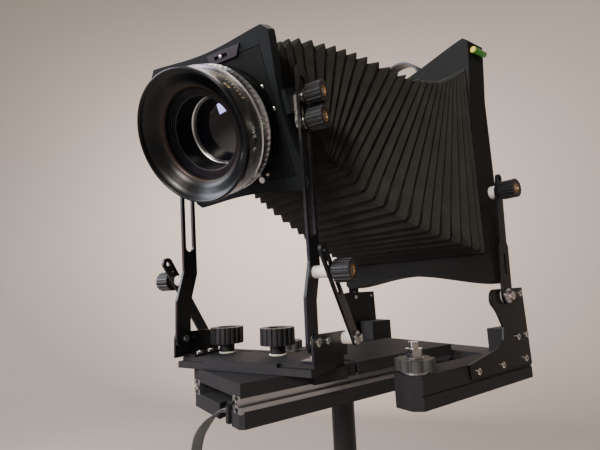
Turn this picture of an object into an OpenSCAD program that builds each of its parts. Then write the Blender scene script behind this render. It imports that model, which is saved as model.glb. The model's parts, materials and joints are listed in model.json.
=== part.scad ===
// Large-format film camera standing on a three-legged column tripod.
// Origin: floor level under the axis of the tripod column. +Z is up, the lens looks towards -Y.

/* [Which sub-part] */
// Sub-part to draw on its own, or all

/* [Tripod] */
// Height of the underside of the camera bed above the floor
bed_height = 900; // [780:1:1100]
// Height of the leg hinges above the floor
hinge_height = 660; // [560:1:720]
// Outside diameter of the centre column
column_d = 27; // [22:0.5:34]
// How far the centre column runs down below the crown
column_tail = 126; // [80:1:200]
// Angle of each leg from the vertical
leg_spread = 24; // [18:0.5:30]
// Outside diameter of the leg tubes
leg_d = 25; // [20:0.5:30]
// Radius of the round end of each foot
foot_r = 17; // [14:0.5:22]

/* [Bed] */
// Width of the bed across the rails
bed_w = 110; // [104:1:130]
// Length of the bed along the rails
bed_len = 303; // [280:1:360]
// Thickness of the lower bed plate
bed_plate_t = 14.5; // [12:0.5:20]
// Side of the square slotted rails
rail_side = 15; // [15:0.5:18]
// Thickness of the carriage and deck plates above the rails
carriage_t = 13; // [10:0.5:16]
// Length of the sliding front carriage
carriage_len = 135; // [125:1:160]
// Distance from the bed's front end back to the column axis
column_back = 161; // [140:1:180]

/* [Front standard] */
// Angle by which the front standard is swung about the vertical
swing = 25; // [-5:0.5:35]
// Length of the front base plate, left to right
base_w = 166; // [160:1:180]
// Depth of the front base plate, front to rear
base_depth = 72; // [68:1:90]
// Thickness of the front base plate
base_t = 10.5; // [8:0.5:14]
// Distance of each upright bar from the middle
upright_u = 82; // [80:0.5:90]
// Thickness of the flat bars
bar_t = 3; // [2:0.5:3.5]
// Height of the frame's tilt axis above the underside of the base plate
tilt_axis_z = 272; // [230:1:280]
// Forward tilt of the lens frame
frame_tilt = 27.4; // [0:0.2:30]

/* [Lens frame and lens] */
// Half height of the lens frame at its corners
frame_half_h = 81; // [76:0.5:90]
// Half side of the square lens board
board_half = 64.5; // [62:0.5:66]
// Radius of the front rim of the lens
rim_r = 63.5; // [56:0.5:66]
// Distance of the front rim from the face of the lens board
rim_out = 64; // [58:0.5:76]
// Radius of the free glass at the front of the lens
glass_r = 31; // [26:0.5:36]

/* [Rear standard] */
// Half width of the rear frame at its corners
rear_half_w = 130; // [126:1:156]
// Height of the rear frame
rear_h = 314; // [300:1:380]
// Thickness of the rear frame, front to rear
rear_t = 34; // [28:1:40]
// Width of each arm of the rear base
arm_w = 28; // [22:0.5:32]
// Length of each arm of the rear base
arm_len = 212; // [190:1:250]
// Height of each arm of the rear base
arm_h = 32; // [28:0.5:36]

/* [Hidden] */
$fn = 64;
gap = 0.3;                      // air between parts that move past each other
run = 0.05;                     // radial clearance of a stud in its hole
black = [0.09, 0.09, 0.095];
plastic = [0.17, 0.17, 0.165];
printed = [0.30, 0.29, 0.30];
alu = [0.72, 0.72, 0.73];
steel = [0.75, 0.75, 0.74];
white = [0.93, 0.93, 0.92];
ink = [0.05, 0.05, 0.055];

// Levels of the bed, measured up from its underside
rail_sink = 1.75;               // how far each rail sinks into the plates
rail_z = bed_plate_t - rail_sink;
deck_z = rail_z + rail_side - rail_sink;
top_z = deck_z + carriage_t;
rail_x = bed_w / 2 - rail_side / 2 - 0.5;
notch_left = 12;                // notch in the front of the lower plate
notch_right = rail_x - rail_side / 2 - 3;
rear_deck_gap = 5;
deck_y = carriage_len + rear_deck_gap;

// Front standard, in its own frame: u across, v to the rear, z up
swing_x = 4.5;                  // swing axis, from the bed's middle and front end
swing_y = 71;
swing_u = 17;                   // the same axis in the base plate
swing_v = 47;
swing_r = 70;                   // from the swing axis to the second clamp stud
base_stud_r = 3;
pivot_v = 6.4;                  // hinge of the upright bars
pivot_z = 30.8;
lean = 2.4;                     // forward lean of the straight part of the bars
knee_v = 17;                    // the bars' upper knee
knee_z = 104;
bar_w = 21;
bar_above = 24;                 // how far the bars run past the tilt axis
slot_w = 12;
stud_r = 2.4;
bolt_v = 14.5;                  // bolt of the strut on the bar
bolt_z = 95;
foot_v = 63;                    // lower pivot of the strut
foot_z = 28;
bracket_t = 2.5;
bracket_screws = [22, 40, 58];
screw_r = 3.7;                  // heads of the small screws
pivot_r = 2.1;                  // bolts on which the bars turn
bracket_u = upright_u + bar_t / 2 + 1.5;
spacer_len = 15.5;              // white spacers between bars and struts
strut_u = upright_u + bar_t / 2 + spacer_len + gap;
knob_gap = 26;                  // distance between the two clamp knobs of a side
frame_n = 26.4;                 // board face in front of the tilt axis
frame_b = -8.2;                 // board centre below the tilt axis
frame_half_w = upright_u - bar_t / 2 - 2.5;
frame_t = 14;                   // thickness of the lens frame
board_t = 5;
latch_b = board_half - 2;       // lower edge of the latch, above the board's middle
frame_waist = 8;                // how much the frame's sides draw in
tilt_v = knee_v - (tilt_axis_z - knee_z) * tan(lean);
carrier_u = upright_u - bar_t / 2 - gap;
carrier_t = 4.6;
lug_x = frame_half_w - frame_waist - 7;
small_r = 11.2;                    // small clamp knobs
small_len = 21;

// Lens, z forward from the face of the board
thread_depth = 5;
ring_r = rim_r + 1;             // knurled ring behind the barrel
ring_z0 = 20;
ring_z1 = 36;
neck_r = 50;                    // hub on which the ring turns
cell_r = 40;                    // rear cell behind the board
glass_z = 12;                   // edge of the front glass
throat_r = glass_r + 5;         // straight bore in front of the glass
lever_angle = -62;              // cocking lever at rest, seen from the front
lever_sweep = 40;
lever_z = 8;

// Rear standard
arm_x = 99;                     // inner face of each arm
arm_y = 146;                    // front end of the arms, from the bed's front
cross_y = bed_len + 9;
rear_y = 292;                   // front face of the rear frame
rear_z = 114;                   // lowest point of the rear frame
rear_waist = 8;
tilt_y = 318;                   // tilt axis of the rear frame
tilt_z = 226;
plate_x = arm_x + arm_w;        // inner face of the rear brackets
washer_t = max(1.7, rear_half_w + 1.2 - plate_x - bracket_t);
bar_x = plate_x + bracket_t + washer_t;
hinge_y = 310;                  // lower bolt of the rear bars
hinge_z = 100;
disc_y = 162;
disc_r = 19.4;

// Bellows: seven lengths between the lens frame and the rear frame
bellows_n = 7;
bellows_wall = 2.5;
bellows_front = 58;             // half width and half height at the lens frame
bellows_rear = [114, 122];      // half width and half height at the rear frame
bellows_reach = [90, 60];       // how far each end keeps to its own frame's direction

// Carrying strap, hanging from the bed's front to the column, from the bed's front and underside
strap_w = 11;
strap_t = 2.4;
strap_points = [[31, 3, 11], [24, 3.01, 11], [17, -1, 9], [10, -7.5, 3], [1, -10, -5], [-8, -10, -12],
    [-18, -9, -20], [-28, -7, -30], [-37, -5, -41], [-45, -3, -55], [-51, 1, -72], [-55, 8, -91],
    [-56, 18, -111], [-54, 31, -130], [-50, 46, -146], [-44, 63, -158], [-37, 81, -164],
    [-29, 99, -163], [-21, 116, -154], [-13, 130, -140], [-6, 138, -127], [-2, 141.5, -117],
    [-1, 142, -110], [-1, 142.01, -102]];

// ---------- places ----------

module bed() translate([0, -column_back, bed_height]) children();

module front()
    bed() translate([swing_x, swing_y, top_z]) rotate([0, 0, swing]) translate([-swing_u, -swing_v, 0])
        children();

// Middle of the lens board's face: x across, y to the rear, z up along the board
module lens_frame()
    front() translate([0, tilt_v, tilt_axis_z]) rotate([frame_tilt, 0, 0])
        translate([0, -frame_n, frame_b]) children();

// The same place with z along the lens, pointing forward
module lens_axis() lens_frame() rotate([90, 0, 0]) children();

module both() {
    children();
    mirror([1, 0, 0]) children();
}

// A thing drawn along +z is laid along +x, away from the middle
module across(x, y, z) translate([x, y, z]) rotate([0, 90, 0]) children();

// A flat outline in (y, z) becomes a plate that starts at x
module plate_yz(x, t) translate([x, 0, 0]) rotate([90, 0, 90]) linear_extrude(t) children();

// ---------- shared shapes ----------

module bar2d(p, q, w) {
    d = q - p;
    translate(p) circle(d = w);
    translate(q) circle(d = w);
    side = w * 0.985;               // a hair narrower, so the sides cross the round ends cleanly
    translate(p) rotate(atan2(d[1], d[0])) translate([0, -side / 2]) square([norm(d), side]);
}

module ring(r_out, r_in, h)
    difference() {
        cylinder(r = r_out, h = h);
        translate([0, 0, -1]) cylinder(r = r_in, h = h + 2);
    }

// Fluted clamp knob with its own stud, which starts at z = -stud
module fluted_knob(r, h, neck_r, neck_h, flutes, stud_r, stud) {
    difference() {
        translate([0, 0, neck_h]) cylinder(r = r, h = h);
        for (i = [0 : flutes - 1])
            rotate([0, 0, i * 360 / flutes]) translate([r + 0.35, 0, neck_h - 1])
                cylinder(r = r * PI / flutes * 0.55, h = h + 2, $fn = 16);
        translate([0, 0, neck_h + h - 1.5]) cylinder(r = r * 0.55, h = 2);
    }
    cylinder(r = neck_r, h = neck_h);
    if (stud > 0) translate([0, 0, -stud]) cylinder(r = stud_r, h = stud);
}

module small_knob(stud) fluted_knob(small_r, small_len - 4, 6, 4, 16, stud_r, stud);

// Button-head screw, head on +z, shank sunk in the part below
module screw(head_r, shank)
    difference() {
        union() {
            cylinder(r = head_r, h = head_r * 0.45);
            translate([0, 0, head_r * 0.45]) cylinder(r1 = head_r, r2 = head_r * 0.7, h = head_r * 0.2);
            translate([0, 0, -shank]) cylinder(r = head_r * 0.5, h = shank);
        }
        translate([0, 0, head_r * 0.25]) cylinder(r = head_r * 0.42, h = head_r, $fn = 6);
    }

// Rectangle with waisted sides: half sizes at the corners, draw-in of the sides and of top and bottom
function waist(t) = pow(max(0, (1 + cos(180 * t)) / 2), 0.7);
function waisted(w, h, dw, dh, n = 16, c = 6) = concat(
    [for (i = [-n : n]) let (t = i / n) [w - dw * waist(t), t * (h - c)]],
    [for (i = [-n : n]) let (t = -i / n) [t * (w - c), h - dh * waist(t)]],
    [for (i = [-n : n]) let (t = -i / n) [-w + dw * waist(t), t * (h - c)]],
    [for (i = [-n : n]) let (t = i / n) [t * (w - c), -h + dh * waist(t)]]);

// ---------- tripod ----------

hinge_r = 44;                   // leg hinges, from the column axis
leg_run = (hinge_height - foot_r) / cos(leg_spread);
leg_turn = -30;                 // one leg to the rear, two to the front
lug_gap = 18;
crown_z = hinge_height - 14;
crown_h = 30;
column_top = bed_height - 8;
column_len = column_top - crown_z + column_tail;
collar_z = crown_z + crown_h + gap;
collar_h = 28;

module leg_place(i)
    rotate([0, 0, leg_turn + 120 * i]) translate([hinge_r, 0, hinge_height]) rotate([0, -leg_spread, 0]) children();

module leg(i)
    leg_place(i) {
        color(black) difference() {
            union() {
                translate([0, lug_gap / 2 - 1, 0]) rotate([90, 0, 0]) cylinder(r = 13, h = lug_gap - 2);
                translate([-10, -lug_gap / 2 + 1, -42]) cube([20, lug_gap - 2, 42]);
                translate([0, 0, -80]) cylinder(d = leg_d + 7, h = 44);
            }
            translate([0, 20, 0]) rotate([90, 0, 0]) cylinder(r = 4 + run, h = 40);
        }
        color(black) translate([0, 0, -leg_run + 24]) cylinder(d = leg_d, h = leg_run - 24 - 80);
        color(plastic) translate([0, 0, -leg_run]) {
            sphere(r = foot_r);
            translate([0, 0, 4]) cylinder(r1 = foot_r - 1, r2 = leg_d / 2 + 3, h = 20);
        }
    }

module tripod_crown() color(black) {
    difference() {
        union() {
            translate([0, 0, crown_z]) cylinder(r = 34, h = crown_h);
            for (i = [0 : 2]) rotate([0, 0, leg_turn + 120 * i])
                for (s = [-1, 1]) translate([22, s * (lug_gap / 2 + 4) - 4, crown_z]) {
                    cube([hinge_r - 22, 8, 28]);
                    translate([hinge_r - 22, 8, 14]) rotate([90, 0, 0]) cylinder(r = 14, h = 8);
                }
        }
        translate([0, 0, crown_z - 1]) cylinder(d = column_d + 2 * gap, h = crown_h + 2);
        for (i = [0 : 2]) rotate([0, 0, leg_turn + 120 * i])
            translate([26, -lug_gap / 2, crown_z - 1]) cube([60, lug_gap, crown_h + 2]);
    }
    for (i = [0 : 2]) rotate([0, 0, leg_turn + 120 * i]) translate([hinge_r, 20, hinge_height])
        rotate([90, 0, 0]) {
            cylinder(r = 4, h = 40);
            translate([0, 0, -2]) cylinder(r = 7, h = 4.9, $fn = 6);
            translate([0, 0, 37.1]) cylinder(r = 7, h = 4.9);
        }
}

module pan_collar() color(plastic) difference() {
    union() {
        translate([0, 0, collar_z]) cylinder(r = 27, h = collar_h);
        translate([-8, -36, collar_z + 5]) cube([16, 20, 18]);
    }
    translate([0, 0, collar_z - 1]) cylinder(d = column_d + 2 * run, h = collar_h + 2);
    translate([0, -15, collar_z + 14]) rotate([90, 0, 0]) cylinder(r = 4 + run, h = 30);
}

module collar_knob() color(plastic)
    translate([0, -36 - gap, collar_z + 14]) rotate([90, 0, 0]) fluted_knob(14, 12, 8, 5, 12, 4, 20);

module column() color(black) {
    translate([0, 0, column_top - column_len]) ring(column_d / 2, column_d / 2 - 3, column_len);
    translate([0, 0, column_top]) cylinder(r = 25, h = bed_height - column_top);
    translate([0, 0, column_top - column_len - 10]) cylinder(d = column_d + 4, h = 10);
}

// ---------- carrying strap ----------

clip_z = -102;                  // lower end of the clip on the column

module strap_clips() color(plastic) bed() {
    translate([31, -3, 2]) cube([notch_right - 31, 14, 15]);
    translate([0, column_back, clip_z]) ring(column_d / 2 + 5, column_d / 2, 16);
    translate([-8, column_back - column_d / 2 - 8, clip_z]) cube([16, 5, 16]);
}

function unit(v) = v / norm(v);
function strap_dir(i) = unit(strap_points[min(i + 1, len(strap_points) - 1)] - strap_points[max(i - 1, 0)]);
function strap_section(i) =
    let (t = strap_dir(i), s = unit(cross(t, [0, 0, 1])), n = cross(s, t), a = strap_w / 2, b = strap_t / 2)
    [for (p = [[a, b * 0.3], [a * 0.9, b], [-a * 0.9, b], [-a, b * 0.3],
               [-a, -b * 0.3], [-a * 0.9, -b], [a * 0.9, -b], [a, -b * 0.3]])
        strap_points[i] + s * p[0] + n * p[1]];

module carry_strap() color(plastic) bed() {
    rings = len(strap_points);
    polyhedron(
        points = [for (i = [0 : rings - 1]) each strap_section(i)],
        faces = concat([[for (k = [0 : 7]) k]], [[for (k = [0 : 7]) 8 * rings - 1 - k]],
            [for (i = [0 : rings - 2], k = [0 : 7]) let (a = 8 * i + k, b = 8 * i + (k + 1) % 8)
                each [[a, a + 8, b], [b, a + 8, b + 8]]]));
}

// ---------- bed ----------

module bed_plate() color(printed) bed() difference() {
    translate([-bed_w / 2, 0, 0]) cube([bed_w, bed_len, bed_plate_t]);
    translate([notch_left, -1, -1]) cube([notch_right - notch_left, 19, bed_plate_t + 2]);
    translate([notch_left, -1, -1]) rotate([0, 0, 30]) cube([20, 12, bed_plate_t + 2]);
    both() translate([rail_x - rail_side / 2, -1, rail_z]) cube([rail_side, bed_len + 2, rail_side]);
    both() translate([bed_w / 2 - 4, 0, -1]) rotate([0, 0, -45]) cube([8, 8, bed_plate_t + 2]);
}

module t_slot_profile() difference() {
    translate([-rail_side / 2, -rail_side / 2]) square(rail_side);
    circle(r = 1.7);
    for (a = [0 : 90 : 270]) rotate(a) {
        translate([rail_side / 2 - 1.4, -1.6]) square([2, 3.2]);
        translate([rail_side / 2 - 4.2, -3]) square([3, 6]);
    }
}

module rails() color(alu) bed() both()
    translate([rail_x, bed_len, rail_z + rail_side / 2]) rotate([90, 0, 0]) linear_extrude(bed_len)
        t_slot_profile();

module rail_grooves(y, len, air)
    both() translate([rail_x - rail_side / 2 - air, y - 1, deck_z - 1])
        cube([rail_side + 2 * air, len + 2, rail_sink + 1 + air]);

module rear_deck() color(printed) bed() difference() {
    translate([-bed_w / 2, deck_y, deck_z]) cube([bed_w, bed_len - deck_y, carriage_t]);
    rail_grooves(deck_y, bed_len - deck_y, 0);
}

// Extra angle of the swing slot at each end, so that the stud clears it
slot_margin = asin((base_stud_r + 0.5) / swing_r);

module front_carriage() color(printed) bed() difference() {
    union() {
        translate([-bed_w / 2, 0, deck_z + gap]) cube([bed_w, carriage_len, carriage_t - gap]);
        translate([-74, 22, deck_z + gap]) cube([74, 82, carriage_t - gap]);
        translate([0, 76, deck_z + gap]) cube([62, 42, carriage_t - gap]);
    }
    rail_grooves(0, carriage_len, gap);
    translate([swing_x, swing_y, deck_z - 1]) cylinder(r = base_stud_r + run, h = carriage_t + 2);
    translate([swing_x, swing_y, deck_z - 1]) rotate([0, 0, 180 + swing - 30 - slot_margin])
        rotate_extrude(angle = 40 + 2 * slot_margin)
        translate([swing_r - base_stud_r - 0.5, 0]) square([2 * base_stud_r + 1, carriage_t + 2]);
}

// ---------- front standard ----------

function base_knob_u(k) = k == 2 ? swing_u : swing_u - swing_r;
knob_washer_t = 1.6;

module front_base() color(printed) front() difference() {
    translate([-base_w / 2, 0, gap]) cube([base_w, base_depth, base_t - gap]);
    for (k = [1, 2]) translate([base_knob_u(k), swing_v, -1]) cylinder(r = base_stud_r + run, h = base_t + 2);
    both() translate([46, -1, base_t - 3.5]) cube([base_w / 2 - 46 + 1, 8, 5]);
    for (u = [-36, -8]) translate([u - 9, 58, base_t - 5]) cube([18, 4, 6]);
    both() for (v = bracket_screws) translate([bracket_u - 11, v, base_t - 4]) cylinder(r = screw_r / 2 + run, h = 5);
}

module front_brackets() color(black) front() both() difference() {
    union() {
        translate([bracket_u - 18, 9, base_t]) cube([18 + bracket_t, foot_v - 2, bracket_t]);
        plate_yz(bracket_u, bracket_t) difference() {
            union() {
                translate([-2, base_t]) square([74, 24 - base_t]);
                bar2d([5, 31], [66, 28], 14);
                translate([-2, 20]) square([20, 11]);
            }
            translate([pivot_v, pivot_z]) circle(r = pivot_r + run);
            translate([26, 30]) circle(r = screw_r / 2 + run);
        }
    }
    for (v = bracket_screws) translate([bracket_u - 11, v, base_t - 1]) cylinder(r = screw_r / 2 + run, h = 6);
}

module front_screws() color(steel) front() both() {
    for (v = bracket_screws) translate([bracket_u - 11, v, base_t + bracket_t]) screw(screw_r, 6);
    across(bracket_u + bracket_t, pivot_v, pivot_z) screw(2 * pivot_r, 9);
    across(upright_u - bar_t / 2 - 4.2, pivot_v, pivot_z) cylinder(r = 4.2, h = 3.2, $fn = 6);
    across(bracket_u + bracket_t, foot_v, foot_z) cylinder(r = 2, h = spacer_len - 3 + bar_t + 1);
    across(strut_u + bar_t + gap, foot_v, foot_z) {
        cylinder(r = 7, h = 1.2);
        translate([0, 0, 1.2]) cylinder(r = 4.4, h = 4, $fn = 6);
    }
    across(bracket_u + bracket_t, 26, 30) screw(screw_r, bracket_t);
}

// White washers under the knobs and at the bars' hinges, and the lower spacers of the struts
module base_washers() color(white) front() {
    for (k = [1, 2]) translate([base_knob_u(k), swing_v, base_t]) ring(9.5, base_stud_r + run, knob_washer_t);
    both() {
        across(upright_u + bar_t / 2 + gap, pivot_v, pivot_z)
            ring(7, pivot_r + run, bracket_u - upright_u - bar_t / 2 - gap);
        across(bracket_u + bracket_t, foot_v, foot_z)
            ring(6, 2, strut_u - bracket_u - bracket_t - gap);
    }
}

module base_knob(k) color(plastic) front()
    translate([base_knob_u(k), swing_v, base_t + knob_washer_t + gap])
        fluted_knob(19, 18, 8.5, 9, 20, base_stud_r, base_t + knob_washer_t + gap + 9);

// Point of the upright's straight part, at a height above the base plate
function bar_at(z) = [knee_v - (z - knee_z) * tan(lean), z];

module front_uprights() color(black) front() both() plate_yz(upright_u - bar_t / 2, bar_t) difference() {
    union() {
        bar2d([pivot_v, pivot_z], [pivot_v, 70], bar_w);
        bar2d([pivot_v, 70], [knee_v, knee_z], bar_w);
        bar2d([knee_v, knee_z], bar_at(tilt_axis_z + bar_above), bar_w);
    }
    translate([pivot_v, pivot_z]) circle(r = pivot_r + run);
    translate([bolt_v, bolt_z]) circle(r = stud_r + run);
    bar2d(bar_at(knee_z + 30), bar_at(tilt_axis_z + bar_above - 8), slot_w);
}

module strut_spacers() color(white) front() both()
    across(upright_u + bar_t / 2, bolt_v, bolt_z) ring(6, stud_r + run, spacer_len);

strut_len = norm([bolt_v - foot_v, bolt_z - foot_z]);
function strut_at(s) = [foot_v + (bolt_v - foot_v) * s / strut_len, foot_z + (bolt_z - foot_z) * s / strut_len];

module strut() color(black) plate_yz(strut_u, bar_t) difference() {
    bar2d(strut_at(0), strut_at(strut_len + 24), 14);
    translate(strut_at(0)) circle(r = 2 + run);
    translate(strut_at(strut_len + 24)) circle(r = 2.6);
    bar2d(strut_at(strut_len - 24), strut_at(strut_len + 10), 2 * stud_r + 1.6);
}

module strut_knob() color(plastic)
    across(strut_u + bar_t + gap, bolt_v, bolt_z) small_knob(spacer_len + 2 * bar_t + 2 * gap);

// ---------- lens frame ----------

function knob_v(k) = bar_at(tilt_axis_z - k * knob_gap)[0];

// Blocks that slide along the bars' slots and hold the frame's tilt axis
module frame_carriers() color(steel) front() both() {
    plate_yz(carrier_u - carrier_t, carrier_t)
        bar2d(bar_at(tilt_axis_z), bar_at(tilt_axis_z - knob_gap), 15);
    for (k = [0, 1]) across(carrier_u - carrier_t - (k == 0 ? 8 : 0), knob_v(k), tilt_axis_z - k * knob_gap)
        cylinder(r = stud_r, h = carrier_t + bar_t + 2 * gap + 12 + (k == 0 ? 8 : 0));
    for (k = [0, 1]) across(upright_u + bar_t / 2 + gap, knob_v(k), tilt_axis_z - k * knob_gap)
        ring(7.5, stud_r - 0.2, 1.6);
}

// Clamp knob on a carrier stud: 0 holds the tilt, 1 holds the rise
module carrier_knob(k) color(plastic)
    across(upright_u + bar_t / 2 + 2 * gap + 1.6, knob_v(k), tilt_axis_z - k * knob_gap) difference() {
        fluted_knob(small_r, small_len - 4, 6, 4, 16, stud_r, 0);
        translate([0, 0, -1]) cylinder(r = stud_r + run, h = 13);
    }

module front_frame() color(plastic) lens_frame() difference() {
    union() {
        translate([0, frame_t, 0]) rotate([90, 0, 0]) linear_extrude(frame_t)
            polygon(waisted(frame_half_w, frame_half_h, frame_waist, 5));
        both() translate([lug_x, 6, -frame_b - 12]) cube([carrier_u - carrier_t - gap - lug_x, frame_n + 2, 24]);
    }
    translate([-board_half - 0.3, -1, -board_half - 0.3]) cube([2 * board_half + 0.6, board_t + 1, 2 * board_half + 0.6]);
    translate([-52, -1, -52]) cube([104, frame_t + 2, 104]);
    both() across(lug_x - 1, frame_n, -frame_b) cylinder(r = stud_r + run, h = 20);
}

module lens_board() color(plastic) lens_axis() difference() {
    translate([-board_half, -board_half, -board_t]) cube([2 * board_half, 2 * board_half, board_t]);
    translate([0, 0, -board_t - 1]) cylinder(r = cell_r + 1, h = board_t + 2);
}

// Sliding latch that holds the board's upper edge
module board_latch() color(plastic) lens_axis() difference() {
    translate([0, 0, gap]) linear_extrude(1.6)
        polygon([[4, latch_b], [38, latch_b], [45, latch_b + 10], [4, latch_b + 10]]);
    translate([12, latch_b + 3, 0]) cube([16, 3.4, 4]);
}

// ---------- lens ----------

module lens_barrel() color(ink) lens_axis() difference() {
    union() {
        translate([0, 0, ring_z1 + gap]) cylinder(r = rim_r - 2, h = rim_out - ring_z1 - gap);
        translate([0, 0, rim_out - 6]) cylinder(r = rim_r, h = 6);
    }
    translate([0, 0, rim_out - thread_depth]) cylinder(r = rim_r - 2.5, h = thread_depth + 1);
    for (i = [0 : 4])
        translate([0, 0, rim_out - thread_depth - 4 * (i + 1)])
            cylinder(r1 = rim_r - 9 - 4.5 * i, r2 = rim_r - 5.5 - 4.5 * i, h = 4.01);
    translate([0, 0, ring_z1 - 1]) cylinder(r = throat_r, h = 12);
}

module front_glass() color([0.3, 0.25, 0.35]) lens_axis() intersection() {
    translate([0, 0, glass_z - 6]) cylinder(r = glass_r + 2, h = 12);
    translate([0, 0, glass_z + 5.5 - 90]) sphere(r = 90);
}

module shutter() color(ink) lens_axis() difference() {
    union() {
        cylinder(r = 62, h = 4);
        translate([0, 0, 4]) cylinder(r = 60, h = ring_z0 - 4 - gap);
        translate([0, 0, ring_z0 - gap]) cylinder(r = neck_r, h = ring_z1 - ring_z0 + 2 * gap);
        translate([0, 0, -board_t - 4]) cylinder(r = cell_r + 0.9, h = board_t + 4);
    }
    translate([0, 0, -board_t - 5]) cylinder(r = glass_r, h = 60);
    translate([0, 0, glass_z - 6]) cylinder(r = glass_r + 2, h = 12);
    translate([0, 0, glass_z]) cylinder(r = throat_r, h = ring_z1);
    rotate([0, 0, lever_angle - 8]) rotate_extrude(angle = lever_sweep + 16) translate([51, lever_z]) square([12, 5]);
}

module aperture_ring() color(alu) lens_axis() difference() {
    translate([0, 0, ring_z0]) cylinder(r = ring_r, h = ring_z1 - ring_z0);
    translate([0, 0, ring_z0 - 1]) cylinder(r = neck_r + gap, h = ring_z1 - ring_z0 + 2);
    for (i = [0 : 71]) rotate([0, 0, 5 * i]) translate([ring_r + 0.5, 0, ring_z0 + 4])
        cylinder(r = 1.3, h = ring_z1 - ring_z0 - 8, $fn = 12);
}

module cocking_lever() color(steel) lens_axis() rotate([0, 0, lever_angle]) {
    translate([51.5, -2.5, lever_z + 0.8]) cube([18, 5, 3]);
    translate([68, 0, lever_z + 0.8]) cylinder(r = 3.4, h = 5.4);
}

module rear_cell() color(ink) lens_axis() difference() {
    translate([0, 0, -board_t - 30]) union() {
        cylinder(r = cell_r - 3, h = 26);
        translate([0, 0, 16]) cylinder(r = cell_r + 4, h = 10 - gap);
    }
    translate([0, 0, -board_t - 31]) cylinder(r1 = glass_r + 3, r2 = glass_r - 3, h = 10);
}

// ---------- bellows ----------

function turn_x(p, a) = [p[0], p[1] * cos(a) - p[2] * sin(a), p[1] * sin(a) + p[2] * cos(a)];
function turn_z(p, a) = [p[0] * cos(a) - p[1] * sin(a), p[0] * sin(a) + p[1] * cos(a), p[2]];

// Point of the lens frame, from the bed's front and underside
function lens_point(p) =
    let (tilted = turn_x(p + [0, -frame_n, frame_b], frame_tilt) + [0, tilt_v, tilt_axis_z])
    turn_z(tilted - [swing_u, swing_v, 0], swing) + [swing_x, swing_y, top_z];

corners = [[1, 1], [-1, 1], [-1, -1], [1, -1]];
function bellows_corner(c, t, inset) =
    let (h = bellows_front - inset,
         p = lens_point([c[0] * h, frame_t, c[1] * h]),
         q = lens_point([c[0] * h, frame_t + bellows_reach[0], c[1] * h]),
         r = [c[0] * (bellows_rear[0] - inset), rear_y, rear_z + rear_h / 2 + c[1] * (bellows_rear[1] - inset)],
         k = 1 - t)
    p * pow(k, 3) + q * 3 * k * k * t + (r - [0, bellows_reach[1], 0]) * 3 * k * t * t + r * pow(t, 3);

module bellows(i) color(ink) bed()
    polyhedron(
        points = [for (inset = [0, bellows_wall], t = [(i - 1) / bellows_n, i / bellows_n], c = corners)
            bellows_corner(c, t, inset)],
        faces = [for (k = [0 : 3]) let (a = k, b = (k + 1) % 4)
            each [[a, b, a + 4], [b, b + 4, a + 4], [a + 8, a + 12, b + 8], [b + 8, a + 12, b + 12],
                  [a, a + 8, b], [b, a + 8, b + 8], [a + 4, b + 4, a + 12], [b + 4, b + 12, a + 12]]]);

// ---------- rear standard ----------

function rear_side(z) = rear_half_w - rear_waist * waist((z - rear_z - rear_h / 2) / (rear_h / 2 - 6));
rear_screw_places = [[242, 24], [290, 24], [341, 25], [348, 52], [329, 51], [345, 101]];
riser_h = 28;

module rear_base() color(printed) bed() difference() {
    union() {
        both() difference() {
            translate([arm_x, arm_y, 0]) cube([arm_w, arm_len, arm_h]);
            translate([arm_x + arm_w - 8, arm_y, -1]) rotate([0, 0, -45]) cube([16, 12, arm_h + 2]);
            translate([arm_x + arm_w - 1.2, arm_y - 1, arm_h * 0.4]) cube([2, arm_len + 2, 1.4]);
        }
        both() translate([arm_x, arm_y + arm_len - 42, arm_h]) cube([arm_w, 42, riser_h]);
        translate([-arm_x, cross_y, 0]) cube([2 * arm_x, arm_y + arm_len - cross_y, arm_h - 2]);
        translate([-rail_x + rail_side / 2 + 1.5, 186, bed_plate_t + gap])
            cube([2 * rail_x - rail_side - 3, cross_y - 185, deck_z - bed_plate_t - 2 * gap]);
    }
    both() translate([arm_x + arm_w / 2, disc_y, -1]) cylinder(r = 5 + run, h = arm_h + 2);
    both() for (p = rear_screw_places) across(plate_x - 8, p[0], p[1]) cylinder(r = screw_r / 2 + run, h = 9);
}

module clamp_disc() color(plastic) translate([arm_x + arm_w / 2, disc_y, arm_h + 3 + gap]) difference() {
    union() {
        cylinder(r = disc_r - 3, h = 11);
        for (i = [0 : 7]) rotate([0, 0, 45 * i]) translate([disc_r - 6, 0, 0]) cylinder(r = 6, h = 11);
    }
    translate([0, 0, -1]) cylinder(r = 5 + run, h = 13);
}

module rear_screws() color(steel) bed() both() {
    for (p = rear_screw_places) across(plate_x + bracket_t, p[0], p[1])
        screw(screw_r, p[1] > arm_h + riser_h ? bracket_t : 9);
    translate([arm_x + arm_w / 2, disc_y, 4]) cylinder(r = 5, h = arm_h + 26);
    translate([arm_x + arm_w / 2, disc_y, arm_h + 14 + 2 * gap]) cylinder(r = 9, h = 9, $fn = 6);
    across(plate_x, hinge_y, hinge_z) cylinder(r = 3, h = bar_x + bar_t - plate_x + 4);
    across(bar_x + bar_t, hinge_y, hinge_z) {
        cylinder(r = 8.5, h = 1.2);
        translate([0, 0, 1.2]) cylinder(r = 5.5, h = 5, $fn = 6);
    }
}

module rear_brackets() color(black) bed() both() plate_yz(plate_x, bracket_t) difference() {
    union() {
        polygon([[229, 17], [227, 32], [283, 42], [298, 50], [301, 64], [292, 80], [282, 92],
            [282, 100], [290, 108], [352, 108], [355, 17]]);
        translate([291, 97]) circle(r = 11);
    }
    for (p = rear_screw_places) translate(p) circle(r = screw_r / 2 + run);
    translate([hinge_y, hinge_z]) circle(r = 3 + run);
}

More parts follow.
